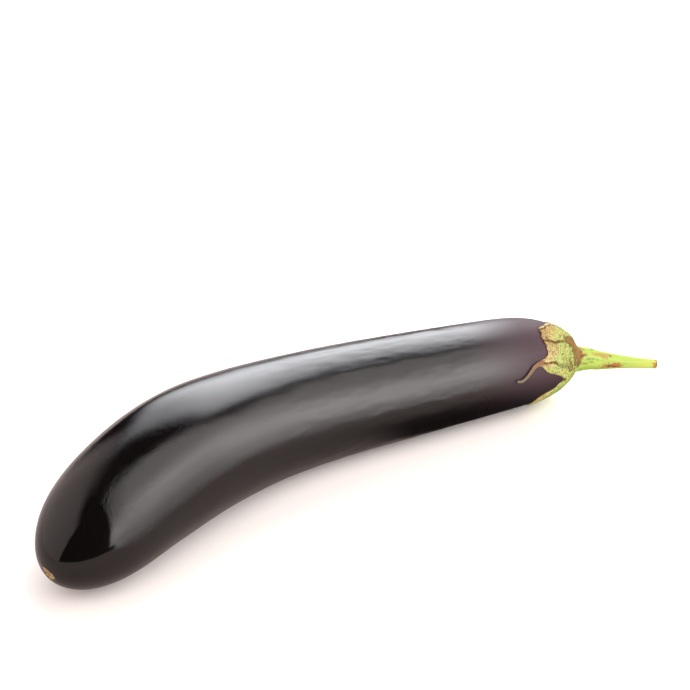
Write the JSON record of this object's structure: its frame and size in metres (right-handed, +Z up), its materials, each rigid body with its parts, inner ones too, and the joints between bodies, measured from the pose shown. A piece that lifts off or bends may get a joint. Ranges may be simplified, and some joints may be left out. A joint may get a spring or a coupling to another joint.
{
  "type": "eggplant",
  "caption": "Long, slim, glossy dark eggplant with a gentle bend, capped by a green lobed calyx on a short tapering stalk, lying on its side.",
  "frame": {"origin": "middle of the bounding box's footprint, on the surface that the eggplant lies on", "axes": "+X along the length, from the blossom end towards the stalk; +Z up, off the surface; the bend is level, and its hollow side faces -Y"},
  "size_m": [0.2902, 0.072, 0.0519],
  "materials": {
    "skin": "smooth waxy fruit skin, glossy, almost black, violet towards the calyx, with a small tan blossom scar",
    "calyx": "leathery yellow-green, drying to tan with brown cracks and edges",
    "stem": "fresh ribbed green stalk with brown scars and a brown cut end"
  },
  "bodies": {
    "root": {"fruit": "skin", "calyx": "calyx", "stem": "stem"}
  },
  "joints": []
}
